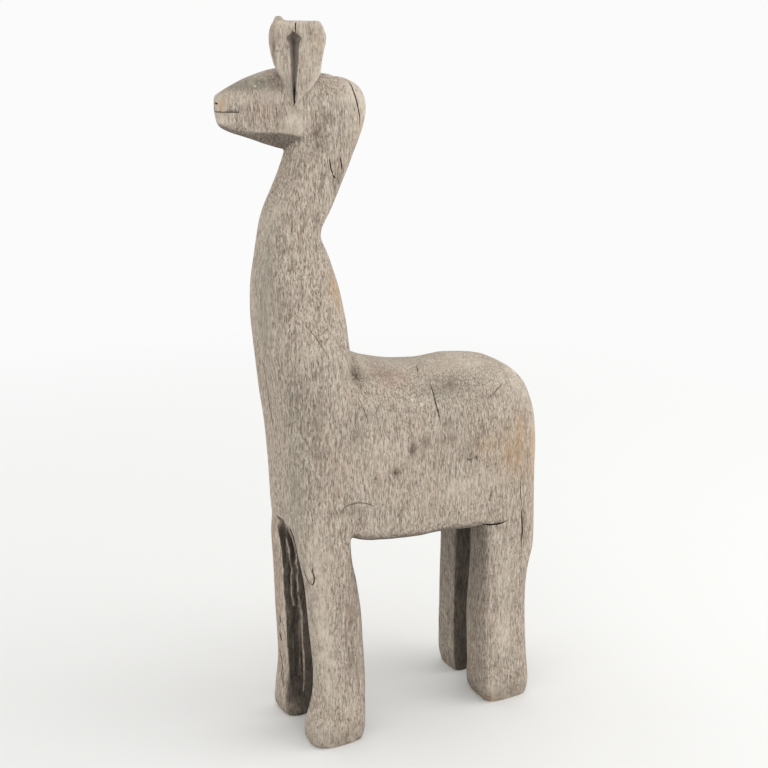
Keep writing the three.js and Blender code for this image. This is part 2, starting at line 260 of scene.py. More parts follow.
def turnHead(points):
    # a turn about the upright axis of the neck, then back to that axis' place
    a = math.radians(head["turn"])
    x = points[..., 0] * math.cos(a) - points[..., 1] * math.sin(a)
    y = points[..., 0] * math.sin(a) + points[..., 1] * math.cos(a)
    return np.stack([x, y + head["pivot"], points[..., 2]], axis=-1)


def earRings(side):
    middle = side * (ear["outerFace"] - ear["thick"] / 2)
    back = 0 if side > 0 else ear["rightSetBack"]
    slices = [(z, a + back, b + back, middle, ear["thick"] / 2, 7, 7) for z, a, b in ear["edges"]]
    return carveBlock(slices, ear["step"], ear["sides"])


def earCorner():
    # the right ear's front corner was left standing a little higher
    corner = ear["rightCorner"]
    middle = ear["thick"] / 2 - ear["outerFace"]
    rows = [(z, corner["front"], corner["front"] + corner["deep"], middle, ear["thick"] / 2 - 0.5, 5, 5)
            for z in (1040, corner["top"] - 1)]
    rows.append((corner["top"], corner["front"] + 1, corner["front"] + corner["deep"] - 1, middle, 10, 4, 4))
    return carveBlock(rows, 2, 40)


def makePiece(name, points, faces):
    mesh = bpy.data.meshes.new(name)
    mesh.from_pydata(points.reshape(-1, 3).tolist(), [], faces)
    mesh.validate()
    mesh.update()
    piece = bpy.data.objects.new(name, mesh)
    bpy.context.collection.objects.link(piece)
    return piece


def joinShells(shells):
    # closed shells side by side in one list of points and faces
    points, faces, first = [], [], 0
    for rings in shells:
        count, sides = rings.shape[:2]
        points.append(rings.reshape(-1, 3))
        faces += [[v + first for v in face] for face in closedFaces(count, sides)]
        first += count * sides
    return np.concatenate(points), faces


def workIn(piece, kind, **settings):
    # adds one modifier and works it into the mesh
    modifier = piece.modifiers.new(kind, kind)
    for key, value in settings.items():
        setattr(modifier, key, value)
    graph = bpy.context.evaluated_depsgraph_get()
    mesh = bpy.data.meshes.new_from_object(piece.evaluated_get(graph))
    piece.modifiers.clear()
    old, piece.data = piece.data, mesh
    bpy.data.meshes.remove(old)


def pointsOf(mesh):
    flat = np.empty(len(mesh.vertices) * 3, np.float32)
    mesh.vertices.foreach_get("co", flat)
    return flat.reshape(-1, 3).astype(float)


def normalsOf(mesh):
    flat = np.empty(len(mesh.vertices) * 3, np.float32)
    mesh.vertex_normals.foreach_get("vector", flat)
    return flat.reshape(-1, 3).astype(float)


def setPoints(mesh, points):
    mesh.vertices.foreach_set("co", points.astype(np.float32).ravel())
    mesh.update()


def neighbourMean(points, edges):
    a, b = edges.T
    count = np.bincount(edges.ravel(), minlength=len(points))
    columns = [np.bincount(a, points[b, k], len(points)) + np.bincount(b, points[a, k], len(points))
               for k in range(points.shape[1])]
    return np.stack(columns, axis=1) / np.maximum(count, 1)[:, None]


def scatter(cell, seed):
    # one fixed random number from 0 to 1 for each whole-numbered cell
    key = (cell * (73856093, 19349663, 83492791)).sum(axis=1) + seed * 2654435
    key = (key ^ (key >> 13)) * 1274126177 & 0xFFFFFFFF
    key = (key ^ (key >> 16)) * 2246822519 & 0xFFFFFFFF
    return (key >> 8 & 0xFFFF) / 65535


def valueNoise(points, grain, seed):
    # random heights from -1 to 1 at whole-numbered places of points / grain, eased between them
    scaled = points / np.array(grain, float) + seed * 17.31
    cell = np.floor(scaled).astype(np.int64)
    part = scaled - cell
    part = part * part * (3 - 2 * part)
    total = np.zeros(len(points))
    for corner in itertools.product((0, 1), repeat=3):
        weight = np.prod(np.where(np.array(corner) == 1, part, 1 - part), axis=1)
        total += weight * (2 * scatter(cell + corner, seed) - 1)
    return total


def gougeScoops(points, grain, seed):
    # squared distance, in cells, to the nearest of one loose point a cell: shallow scoops with ridges between
    scaled = points / np.array(grain, float)
    cell = np.floor(scaled).astype(np.int64)
    nearest = np.full(len(points), 4.0)
    for corner in itertools.product((-1, 0, 1), repeat=3):
        own = cell + corner
        loose = np.stack([scatter(own, seed + k) for k in range(3)], axis=1)
        nearest = np.minimum(nearest, ((own + loose - scaled) ** 2).sum(axis=1))
    return nearest


def near(points, centre, reach):
    # 1 at the centre, falling off as a bell to almost nothing at twice the reach
    return np.exp(-(((points - np.array(centre, float)) / np.array(reach, float)) ** 2).sum(axis=1))


def ramp(values, low, high):
    t = np.clip((values - low) / (high - low), 0, 1)
    return t * t * (3 - 2 * t)


# Where the carver's tool left no edge: centre, reach, strength. Each counts on both sides.
blends = [
    ((80, -104, 430), (26, 26, 90), 1.0),
    ((70, -100, 520), (26, 18, 34), 0.7),
    ((40, -172, 440), (45, 26, 80), 1.0),
    ((34, -112, 925), (16, 14, 40), 0.9),
    ((76, 150, 330), (14, 60, 22), 0.25),
    ((50, 226, 330), (40, 14, 80), 1.0),
    ((50, -178, 337), (34, 14, 26), 1.0),
]
relief = {
    "flatDepth": 1.0,  # the low flats of adze and rasp
    "scoopDepth": 0.6,  # gouge marks, worn low
    "scoopSize": (15, 15, 38),
    "fibreDepth": 0.3,  # long grain raised by the weather
    "fibreSize": (4.5, 4.5, 80),
    "splitDepth": 0.7,  # short open splits along the grain
    "splitSize": (3.6, 3.6, 40),
    "soleWear": 26,  # millimetres up the foot that are worn and chipped
}
# Places worked or worn by hand: centre, reach, millimetres in (or out, below 0)
hollows = [
    ((60, 66, 530), (26, 40, 16), 3.2),  # the scoop along the back's left edge
    ((66, -40, 540), (20, 34, 14), 1.8),
    ((40, -20, 560), (26, 40, 14), 1.2),
    ((52, -86, 572), (16, 12, 16), 3.0),  # corner of neck and back
    ((34, -128, 905), (12, 12, 20), 2.6),  # behind the jaw
    ((70, -158, 560), (14, 30, 46), 2.0),
    ((79, -128, 372), (10, 26, 10), 1.4),  # a crease over the foreleg
    ((80, -36, 420), (10, 10, 8), 1.2),
    ((81, -5, 448), (8, 12, 12), 1.0),
    ((81, 102, 421), (5, 4, 4), 1.6),
    ((36, -101, 842), (8, 10, 22), 1.6),
    ((37, -134, 778), (10, 8, 26), 1.0),
    ((66, 192, 520), (18, 22, 24), -1.6),
    ((81, 82, 378), (12, 60, 24), -1.2),
    ((79, -140, 150), (8, 12, 60), -1.0),
    ((-82, 60, 430), (12, 60, 40), 1.6),
    ((-80, -120, 500), (12, 26, 40), 1.8),
    ((0, 224, 400), (26, 12, 60), 2.0),
    ((0, -190, 430), (20, 12, 60), 1.4),
    ((-4, -184, 350), (13, 12, 26), 6.0),  # where the forelegs part
    ((25, 96, 566), (13, 58, 14), 3.0),  # the near half of the back lies lower than the far half
    ((0, 96, 578), (10, 60, 14), -0.8),
]
rot = {  # the channel rotted down the right foreleg's front inner corner
    "path": [(-26, -172, 340), (-24, -168, 318), (-21, -163, 285), (-20, -160, 240), (-20, -158, 190),
             (-20, -156, 140), (-20, -153, 95), (-20, -150, 62), (-20, -148, 34)],
    "width": [3, 10, 11, 11, 11, 12, 12, 11, 4],
    "depth": [3, 10, 13, 13, 12, 14, 14, 12, 3],
    "inward": (-0.8, 0.6, 0),
    "tongue": (190, 298, 3.5),  # from and to, and half the width of the sound wood left standing
}
voxel = 2.0
mostTriangles = 184000


def makeForm():
    shells = [
        carveBlock(trunk["slices"], trunk["step"], trunk["sides"]),
        layDown(carveBlock(barrel["slices"], barrel["step"], barrel["sides"])),
        turnHead(pareCheeks(layDown(carveBlock(headBlock["slices"], headBlock["step"], headBlock["sides"])))),
        turnHead(earRings(1)),
        turnHead(earRings(-1)),
        turnHead(earCorner()),
    ]
    shells += [carveBlock(leg, 4, 90) for leg in (leftFore, rightFore, leftHind, rightHind)]
    piece = makePiece("llamaWood", *joinShells(shells))
    workIn(piece, "REMESH", mode="VOXEL", voxel_size=voxel, adaptivity=0)
    return piece


def edgesOf(mesh):
    edges = np.empty(len(mesh.edges) * 2, np.int32)
    mesh.edges.foreach_get("vertices", edges)
    return edges.reshape(-1, 2)


def blendJoins(piece):
    # the stair steps of the voxels go everywhere, and the joins between blocks go where blends say
    mesh = piece.data
    points, edges = pointsOf(mesh), edgesOf(mesh)
    for _ in range(5):
        points += 0.5 * (neighbourMean(points, edges) - points)
    sided = np.column_stack([np.abs(points[:, 0]), points[:, 1:]])
    share = sum(strength * near(sided, centre, reach) for centre, reach, strength in blends)
    share = np.clip(share * 1.4 - 0.15, 0, 0.9)
    for _ in range(110):
        points += share[:, None] * (neighbourMean(points, edges) - points)
    setPoints(mesh, points)


def rotDepth(points):
    # a ragged trough: depth times 1 - |across / width| ^ 1.6, with a tongue of sound wood left in it
    path = np.array(rot["path"], float)[::-1]
    height = points[:, 2]
    centre = np.stack([np.interp(height, path[:, 2], path[:, k]) for k in (0, 1)], axis=1)
    width = np.interp(height, path[:, 2], rot["width"][::-1], 0, 0)
    depth = np.interp(height, path[:, 2], rot["depth"][::-1], 0, 0)
    inward = np.array(rot["inward"][:2])
    offset = points[:, :2] - centre
    level = points * (0, 0, 1)
    wander = 2.2 * valueNoise(level, (1, 1, 40), 5) + valueNoise(level, (1, 1, 13), 6)
    across = offset[:, 0] * inward[1] - offset[:, 1] * inward[0] + wander
    along = offset @ inward
    trough = np.clip(1 - (np.abs(across) / np.maximum(width, 0.1)) ** 1.6, 0, 1)
    ragged = 0.8 + 0.34 * valueNoise(points, (4, 4, 60), 7) + 0.2 * valueNoise(points, (2.8, 2.8, 26), 8)
    low, high, half = rot["tongue"]
    standing = np.exp(-((across - 1) / half) ** 2) * ramp(height, low - 6, low + 2)
    standing *= ramp(-height, -high - 6, -high)
    sameCorner = (np.abs(along) < 24) & (points[:, 0] < -12) & (points[:, 1] < -130)
    return np.where(sameCorner, depth * trough * ragged * (1 - 0.72 * standing), 0)


def addRelief(piece):
    mesh = piece.data
    points, normals = pointsOf(mesh), normalsOf(mesh)
    upright = 1 - ramp(np.abs(normals[:, 2]), 0.55, 0.95)
    flats = 0.6 * valueNoise(points, (34, 34, 70), 1) + 0.4 * valueNoise(points, (15, 15, 33), 2)
    out = relief["flatDepth"] * flats
    worked = 0.6 + 0.4 * valueNoise(points, (60, 60, 90), 12)
    scoops = np.minimum(gougeScoops(points, relief["scoopSize"], 40), 0.9) - 0.4
    out += relief["scoopDepth"] * worked * scoops
    fibres = 0.6 * valueNoise(points, relief["fibreSize"], 3) + 0.4 * valueNoise(points, (8, 8, 150), 4)
    splits = ramp(valueNoise(points, relief["splitSize"], 9), 0.5, 0.8)
    out += upright * (relief["fibreDepth"] * fibres - relief["splitDepth"] * splits)
    for centre, reach, depth in hollows:
        out -= depth * near(points, centre, reach)
    # soles worn and chipped at their rims, flat underneath
    rim = ramp(relief["soleWear"] - points[:, 2], 0, relief["soleWear"] - 4) * upright
    out -= rim * (0.6 + 1.4 * ramp(valueNoise(points, (9, 9, 9), 10), 0.1, 0.8))
    onFloor = points[:, 2] < 0.6
    moved = points + normals * np.where(onFloor, 0, out)[:, None]
    moved += rotDepth(points)[:, None] * np.array(rot["inward"])
    moved[:, 2] = np.where(onFloor, 0, np.maximum(moved[:, 2], 0))
    setPoints(mesh, moved)


def thin(piece):
    # flat stretches give up triangles first
    mesh = piece.data
    mesh.calc_loop_triangles()
    ratio = mostTriangles / len(mesh.loop_triangles)
    if ratio < 1:
        workIn(piece, "DECIMATE", decimate_type="COLLAPSE", ratio=ratio)


# How the wood has aged, and where highlight and shade are painted on it: kind, centre, reach, strength
patches = [
    ("bleachAndHighlight", (26, -70, 952), (16, 20, 24), 0.55),  # nape
    ("bleachAndHighlight", (28, -58, 930), (12, 14, 20), 0.45),
    ("bleachAndHighlight", (30, -150, 1008), (16, 36, 40), 0.5),  # ear
    ("bleachAndHighlight", (-8, -222, 948), (20, 24, 7), 0.6),  # along the nose, under its flat top
    ("bleachAndHighlight", (14, -186, 950), (16, 18, 8), 0.5),
    ("bleachAndHighlight", (-23, -248, 948), (4, 4, 3.5), 1.0),  # corners of the muzzle
    ("bleachAndHighlight", (-23, -249, 936), (4, 4, 5), 1.2),
    ("bleachAndHighlight", (-17, -242, 928), (10, 10, 12), 0.5),
    ("bleachAndHighlight", (27, -160, 922), (13, 14, 12), 1.0),
    ("bleachAndHighlight", (30, 100, 560), (34, 48, 14), 0.6),  # top of the back: painted highlight where light falls from above
    # painted highlight on the top of the rump
    ("bleachAndHighlight", (62, 170, 532), (20, 30, 20), 0.7),
    ("bleachAndHighlight", (80, 150, 500), (8, 30, 20), 0.4),
    ("bleachAndHighlight", (24, -10, 568), (24, 40, 8), 0.3),
    ("bleachAndHighlight", (76, -152, 220), (9, 14, 100), 0.85),  # ridge of the foreleg: painted highlight on its lit face, with the next row
    ("bleachAndHighlight", (78, -140, 110), (9, 16, 50), 0.6),
    ("bleachAndHighlight", (66, -166, 280), (5, 5, 12), 0.8),
    ("bleachAndHighlight", (82, 76, 378), (10, 60, 20), 0.45),
    ("bleachAndHighlight", (81, -60, 440), (8, 60, 30), 0.25),
    ("bleachAndHighlight", (83, 160, 118), (9, 12, 40), 0.8),
    ("bleachAndHighlight", (82, 160, 230), (9, 12, 60), 0.45),
    ("bleachAndHighlight", (84, -106, 62), (8, 12, 22), 0.45),
    ("bleachAndHighlight", (68, -140, 616), (8, 14, 5), 0.6),
    # painted highlight on the rump's back edge
    ("bleachAndHighlight", (74, 212, 440), (10, 12, 90), 0.5),
    ("bleachAndHighlight", (85, 140, 14), (8, 16, 20), 0.5),
    ("sootAndShade", (36, -126, 903), (9, 9, 17), 0.7),  # behind the jaw: painted shade in the hollow, with the next two rows
    ("sootAndShade", (38, -129, 886), (8, 7, 8), 0.6),
    ("sootAndShade", (36, -112, 925), (5, 5, 5), 0.5),
    ("sootAndShade", (14, -172, 972), (12, 16, 10), 0.7),  # before the ear
    ("sootAndShade", (-6, -212, 966), (34, 40, 7), 0.35),
    ("sootAndShade", (20, -184, 1010), (4, 4, 40), 0.9),  # front rim of the ear: painted shade on its edge face
    ("sootAndShade", (24, -156, 1024), (10, 10, 8), 1.0),  # head of the ear's hollow: painted shade in the groove, with the next two rows
    ("sootAndShade", (20, -158, 1005), (6, 6, 16), 0.6),
    ("sootAndShade", (28, -162, 958), (6, 5, 18), 0.5),
    ("sootAndShade", (60, 62, 533), (18, 34, 12), 0.5),  # the scoop beside the back: painted shade in the hollow
    ("sootAndShade", (44, -46, 562), (22, 26, 9), 0.4),
    ("sootAndShade", (56, -80, 566), (20, 14, 18), 0.5),  # corner of neck and back: painted shade in the hollow
    ("sootAndShade", (34, -100, 836), (9, 12, 16), 0.8),
    ("sootAndShade", (37, -133, 786), (5, 5, 5), 0.6),
    ("sootAndShade", (38, -138, 774), (4, 4, 5), 0.6),
    ("sootAndShade", (36, -135, 760), (4, 4, 5), 0.6),
    ("sootAndShade", (40, -183, 748), (5, 5, 4), 0.6),
    ("sootAndShade", (47, -190, 680), (7, 6, 24), 0.5),
    ("sootAndShade", (60, -182, 555), (18, 16, 50), 0.4),  # breast
    ("sootAndShade", (74, -156, 500), (12, 18, 60), 0.4),
    ("sootAndShade", (80, -112, 480), (10, 24, 30), 0.25),
    ("sootAndShade", (80, -33, 420), (8, 8, 6), 0.9),
    ("sootAndShade", (80, -6, 450), (8, 6, 11), 0.8),
    ("sootAndShade", (80, 14, 462), (8, 10, 7), 0.6),
    ("sootAndShade", (80, 48, 457), (8, 18, 5), 0.6),
    ("sootAndShade", (81, 80, 438), (8, 10, 10), 0.4),
    ("sootAndShade", (81, 101, 421), (5, 3.5, 3.5), 1.2),
    ("sootAndShade", (81, 90, 421), (6, 8, 3), 0.8),
    ("sootAndShade", (81, 104, 446), (6, 8, 14), 0.6),
    ("sootAndShade", (81, 116, 470), (6, 6, 20), 0.4),
    ("sootAndShade", (78, 54, 480), (6, 20, 10), 0.3),
    ("sootAndShade", (72, 128, 511), (8, 18, 6), 0.5),
    # painted shade along the crease over the foreleg
    ("sootAndShade", (80, -112, 374), (8, 26, 7), 0.4),
    ("sootAndShade", (81, -104, 250), (8, 14, 50), 0.5),  # back edge of the foreleg: painted shade on the side turned from the light, with the next row
    ("sootAndShade", (83, -106, 150), (8, 12, 60), 0.35),
    ("sootAndShade", (-46, -167, 159), (4, 4, 4), 1.0),
    ("sootAndShade", (-50, -166, 124), (4, 4, 4), 1.0),
    ("sootAndShade", (-30, -160, 60), (20, 8, 36), 0.6),
    ("ochre", (82, 172, 425), (16, 27, 46), 0.8),  # sheltered flank
    ("ochre", (82, 120, 436), (12, 20, 18), 0.5),
    ("ochre", (45, -106, 690), (14, 13, 30), 0.7),
    ("ochre", (30, -62, 900), (6, 6, 16), 0.7),
    ("ochre", (72, 212, 380), (10, 9, 110), 0.6),
    ("ochre", (39, -127, 1022), (5, 5, 14), 0.7),
    ("ochre", (-20, -243, 941), (4, 5, 9), 1.0),
    ("ochre", (78, 140, 8), (14, 14, 10), 0.7),
    ("ochre", (70, -160, 740), (12, 14, 20), 0.3),
    ("mossy", (24, -208, 690), (18, 16, 130), 0.8),  # front of the neck
    ("mossy", (-6, -206, 968), (34, 44, 9), 1.2),  # top of the nose
    ("mossy", (54, -172, 235), (12, 9, 110), 0.8),
    ("mossy", (52, -186, 400), (18, 14, 60), 0.7),
    ("mossy", (60, 60, 534), (22, 40, 14), 0.6),
    ("mossy", (0, 20, 580), (40, 90, 20), 0.5),
    ("mossy", (80, -60, 508), (10, 30, 20), 0.5),
    ("rosy", (-66, -168, 190), (20, 12, 130), 0.9),
    ("rosy", (45, -22, 553), (18, 24, 12), 0.8),
    ("rosy", (6, -196, 936), (14, 18, 14), 0.6),
    ("rosy", (81, -108, 215), (6, 8, 30), 0.9),
    ("rosy", (80, 30, 440), (12, 60, 30), 0.3),
    ("bare", (-22, -148, 117), (3, 3, 13), 0.7),  # splinters of sound wood in the rotten channel
    ("bare", (-23, -156, 190), (4, 4, 4), 0.8),
    ("bare", (-24, -160, 245), (6, 6, 46), 0.3),
    ("bare", (-34, -160, 14), (20, 16, 14), 0.7),
]


def writeWearAndHollowShade(piece):
    # millimetres that a place stands proud of the smoothed form; raised places are later drawn lighter as
    # wear, and hollows darker as painted shade
    mesh = piece.data
    points, edges = pointsOf(mesh), edgesOf(mesh)
    broad = points
    for _ in range(14):
        broad = neighbourMean(broad, edges)
    proud = ((points - broad) * normalsOf(mesh)).sum(axis=1).astype(np.float32)
    mesh.attributes.new("proud", "FLOAT", "POINT").data.foreach_set("value", proud)


def writeAgingAndShade(piece):
    # what the finish reads at each place, painted highlight and painted shade among it; every patch fades as
    # a bell and is broken up by a coarse noise
    mesh = piece.data
    points, normals = pointsOf(mesh), normalsOf(mesh)
    x, y, z = points.T
    proud = np.empty(len(points), np.float32)
    mesh.attributes["proud"].data.foreach_get("value", proud)
    values = {kind: np.zeros(len(points)) for kind in ("bleachAndHighlight", "sootAndShade", "ochre", "mossy", "rosy", "bare")}
    ragged = 1 + 0.45 * valueNoise(points, (7, 7, 16), 31) + 0.25 * valueNoise(points, (16, 16, 30), 32)
    for kind, centre, reach, strength in patches:
        values[kind] += strength * near(points, centre, reach) * ragged
    # painted shade: inner sides, faces turned to the front and to the back below the body, and undersides are
    # darkened; the rotten channel's own dark wood is added in
    belowBody = ramp(334 - z, 0, 26)
    inner = ramp(-normals[:, 0] * np.sign(x), 0.25, 0.75) * belowBody
    fromFront = 0.6 * ramp(-normals[:, 1], 0.3, 0.8) * (y > 100) * belowBody * (0.5 + 0.5 * ramp(z, 60, 320))
    fromBack = 0.5 * ramp(normals[:, 1], 0.3, 0.8) * (y < -40) * belowBody * (0.5 + 0.5 * ramp(z, 60, 320))
    under = 0.75 * ramp(-normals[:, 2], 0.25, 0.75) * (z > 3)
    rotten = 0.95 * ramp(rotDepth(points + (4, -3, 0)), 3, 9)
    shadeAndRotShare = np.max([inner, fromFront, fromBack, under, rotten], axis=0) * (0.9 + 0.15 * (ragged - 1))
    values["shadeAndRot"] = shadeAndRotShare * (1 - np.clip(values.pop("bare"), 0, 1))
    # raised places lighter as worn wood; hollows below the smoothed form darker as painted shade; and darker
    # towards the soles
    values["bleachAndHighlight"] += 0.7 * ramp(proud, 0.25, 1.4) * (1 - shadeAndRotShare)
    values["sootAndShade"] += 0.5 * ramp(-proud, 0.25, 1.5) + 0.42 * ramp(44 - z, 0, 40) * ragged
    for name, value in values.items():
        value = np.clip(value, 0, 1).astype(np.float32)
        mesh.attributes.new(name, "FLOAT", "POINT").data.foreach_set("value", value)
    mesh.attributes.remove(mesh.attributes["proud"])


# Checks, chips and scratches: (kind, path, width, depth). Each path is laid on the nearest wood.
marks = [
    ("open", [(20, -75, 973), (26, -74, 962), (31, -71, 950), (33, -66, 935), (32, -63, 920),
              (31, -62, 908)], 1.7, 10),
    ("shut", [(38, -158, 1050), (37, -159, 1040), (36, -158, 1032)], 1.2, 5),
    ("shut", [(51, 38, 541), (60, 38, 530), (66, 38, 518), (73, 40, 499), (77, 43, 480)], 1.2, 5),
    ("shut", [(23, 30, 560), (39, 25, 553)], 0.8, 3),
    ("shut", [(38, -114, 870), (38, -113, 862), (39, -111, 853), (38, -108, 847)], 2.0, 5),
    ("shut", [(37, -97, 872), (36.5, -96, 866), (34, -93, 852)], 2.0, 5),
    ("shut", [(38, -109, 847), (35, -103, 842)], 1.8, 4),
    ("shut", [(51, -170, 286), (54, -169, 277), (60, -167, 268), (65, -164, 264)], 1.9, 4),
    ("shut", [(65, -164, 264), (70, -162, 268), (72, -161, 280), (71, -164, 296)], 1.7, 3.5),
    ("open", [(67, 98, 307), (72, 124, 305), (78, 139, 305), (80, 154, 306), (81, 162, 309)], 2.4, 6),
    ("shut", [(80, 187, 322), (80, 188, 304), (80, 189, 284), (80, 187, 264)], 2.0, 6),
    ("shut", [(80, 182, 372), (79, 184, 345), (80, 186, 330)], 1.0, 3),
    ("open", [(-62, -167, 104), (-56, -165, 94), (-49, -164, 80), (-42, -163, 64)], 1.7, 6),
    ("open", [(-52, -167, 70), (-46, -165, 58), (-40, -163, 46)], 1.6, 5),
    ("open", [(-50, -167, 166), (-49, -167, 160), (-49, -167, 153)], 3.4, 5),
    ("open", [(-56, -166, 134), (-52, -166, 127), (-48, -166, 122)], 3.4, 5),
    ("open", [(27, -158, 972), (27, -159, 958), (28, -160, 946), (28, -160, 938)], 1.5, 5),
    ("open", [(-81, -20, 520), (-82, -14, 470), (-81, -16, 420)], 1.6, 7),
    ("open", [(-39, -140, 700), (-40, -146, 650), (-46, -150, 610)], 1.4, 6),
    ("open", [(6, -206, 590), (4, -200, 540), (6, -192, 480)], 1.4, 6),
    ("open", [(-20, 226, 420), (-18, 227, 360), (-20, 225, 310)], 1.6, 7),
    ("shut", [(-64, -90, 250), (-84, -100, 190), (-84, -104, 140)], 1.2, 5),
    ("fresh", [(59, -85, 556), (58, -57, 553), (60, -32, 540), (63, -12, 529), (68, -1, 518),
               (71, 27, 505)], 0.9, 0.7),
    ("fresh", [(65, -3, 522), (67, 4, 519)], 4.5, 1.0),
    ("fresh", [(69, 10, 515), (70, 20, 512)], 4.5, 1.0),
    ("fresh", [(0, -204, 966), (1, -202, 964)], 2.4, 1.0),
    ("worn", [(63, -90, 545), (72, -84, 527), (78, -75, 498)], 0.9, 0.8),
    ("worn", [(77, -61, 499), (74, -63, 514), (70, -53, 525)], 0.8, 0.8),
    ("worn", [(73, 130, 509), (70, 142, 518), (66, 155, 526)], 1.4, 1.2),
    ("worn", [(79, -124, 368), (80, -115, 380), (79, -91, 383), (80, -67, 374)], 1.2, 1.2),
    ("worn", [(58, -168, 656), (65, -147, 626), (70, -131, 598)], 0.8, 0.8),
    ("worn", [(81, 86, 424), (81, 90, 419), (81, 96, 420)], 1.6, 1.4),
]
sawn = {
    "mouth": {"height": 931.5, "open": 1.1, "deep": 31},
    "nostril": {"height": 942.5, "open": 2.2, "wide": 8, "deep": 4},
    "groove": [  # (at, middle, half width, depth) of the ear's hollow, from its foot to the arch over it
        (943, 38.5, 1, 1.5), (956, 38.2, 2.2, 3), (970, 38, 3.4, 4.5), (985, 37.5, 4.6, 6),
        (1000, 37, 5.6, 7.5), (1015, 37, 6.4, 8.5), (1021, 37, 7.4, 9), (1026, 37.5, 10.5, 8.5),
        (1029, 37.5, 8, 7), (1034, 37.5, 2, 3),
    ],
}
cutKinds = ["whole", "shadedSawnCuts", "open", "shut", "fresh", "worn"]


def layOnWood(wood, path, step):
    # a smooth curve through the path in even steps, each drawn to the nearest place on the wood
    path = np.array(path, float)
    run = np.append(0, np.cumsum(np.linalg.norm(np.diff(path, axis=0), axis=1)))
    count = max(5, round(run[-1] / step) + 1)
    line = curveThrough(np.linspace(0, run[-1], count), np.column_stack([run, path]))
    found = [wood.find_nearest(Vector(place)) for place in line]
    onWood = np.array([place for place, normal, index, away in found])
    outward = np.pad(np.array([normal for place, normal, index, away in found]), ((2, 2), (0, 0)), "edge")
    outward = sum(outward[k:k + count] for k in range(5))
    return onWood, outward / np.linalg.norm(outward, axis=1)[:, None]


def wedge(line, outward, width, depth, seed):
    # a thin wedge: at each place two points over the surface and one down in the wood
    across = np.cross(np.gradient(line, axis=0), outward)
    across /= np.linalg.norm(across, axis=1)[:, None]
    t = np.linspace(0, 1, len(line))
    ends = np.clip(4 * np.minimum(t, 1 - t), 0, 1)[:, None] ** 0.6
    line = line + 0.45 * valueNoise(line, (5, 5, 4), seed)[:, None] * across
    lift = 2.0
    half = (0.15 + ends * width / 2) * (1 + lift / max(depth, 0.5)) * across
    top = line + lift * outward
    bottom = line - (0.2 + ends * depth) * outward
    return np.stack([top - half, top + half, bottom], axis=1)


def boxShell(low, high):
    # a box as two square rings
    (x0, y0, z0), (x1, y1, z1) = low, high
    ring = [(x0, y0), (x1, y0), (x1, y1), (x0, y1)]
    return np.array([[(x, y, z) for x, y in ring] for z in (z0, z1)], float)


def grooveShell(side):
    # a diamond section on the ear's outer face, so that a V is cut into it
    back = 0 if side > 0 else ear["rightSetBack"]
    rows = [(z, -ear["outerFace"] - deep, -ear["outerFace"] + deep, middle, half, 1, 1)
            for z, middle, half, deep in sawn["groove"]]
    rings = carveBlock(rows, 2, 24)
    x, y, z = rings[..., 0], rings[..., 1], rings[..., 2]
    return np.stack([-side * y, -x + back, z], axis=-1)


def cutWith(piece, shells, kind):
    # the knife's faces keep the number of their kind as a material number until writeCuts reads it
    knife = makePiece(kind + "Knife", *joinShells(shells))
    shape = bmesh.new()
    shape.from_mesh(knife.data)
    bmesh.ops.triangulate(shape, faces=shape.faces)
    bmesh.ops.recalc_face_normals(shape, faces=shape.faces)
    shape.to_mesh(knife.data)
    shape.free()
    for _ in cutKinds:
        knife.data.materials.append(None)
    numbers = np.full(len(knife.data.polygons), cutKinds.index(kind), np.int32)
    knife.data.polygons.foreach_set("material_index", numbers)
    workIn(piece, "BOOLEAN", operation="DIFFERENCE", solver="MANIFOLD", object=knife)
    bpy.data.objects.remove(knife)


def addCuts(piece):
    mouth, nostril = sawn["mouth"], sawn["nostril"]
    reach = head["muzzle"]
    shadedSawnCuts = [boxShell((-35, -reach - 10, mouth["height"] - mouth["open"] / 2),
                       (35, -reach + mouth["deep"], mouth["height"] + mouth["open"] / 2))]
    for side in (1, -1):
        x = sorted((side * (22 - nostril["wide"]), side * (22 + nostril["wide"])))
        low = (x[0], -reach - nostril["deep"], nostril["height"] - nostril["open"] / 2)
        high = (x[1], -reach + nostril["deep"], nostril["height"] + nostril["open"] / 2)
        shadedSawnCuts += [boxShell(low, high), grooveShell(side)]
    for _ in cutKinds:
        piece.data.materials.append(None)
    # the faces of these sawn cuts are given painted shade
    cutWith(piece, [turnHead(rings) for rings in shadedSawnCuts], "shadedSawnCuts")
    wood = BVHTree.FromObject(piece, bpy.context.evaluated_depsgraph_get())
    for kind in cutKinds[2:]:
        wedges = [wedge(*layOnWood(wood, path, 2.5), width, depth, seed)
                  for seed, (markKind, path, width, depth) in enumerate(marks) if markKind == kind]
        cutWith(piece, wedges, kind)


def writeCuts(piece):
    # one number a face for each kind of cut
    mesh = piece.data
    numbers = np.empty(len(mesh.polygons), np.int32)
    mesh.polygons.foreach_get("material_index", numbers)
    for k, kind in enumerate(cutKinds[1:], start=1):
        cut = (numbers == k).astype(np.float32)
        mesh.attributes.new(kind, "FLOAT", "FACE").data.foreach_set("value", cut)
    mesh.polygons.foreach_set("material_index", np.zeros(len(numbers), np.int32))
    mesh.materials.clear()


def placeOnNode(piece):
    # millimetres to metres, and from the carving's own frame to the node's
    setPoints(piece.data, pointsOf(piece.data) / 1000 + np.array(nodeShift))


def finishMesh(piece):
    mesh = piece.data
    mesh.polygons.foreach_set("use_smooth", np.ones(len(mesh.polygons), bool))
    mesh.set_sharp_from_angle(angle=math.radians(48))
    mesh.calc_loop_triangles()
    report("%d triangles" % len(mesh.loop_triangles))


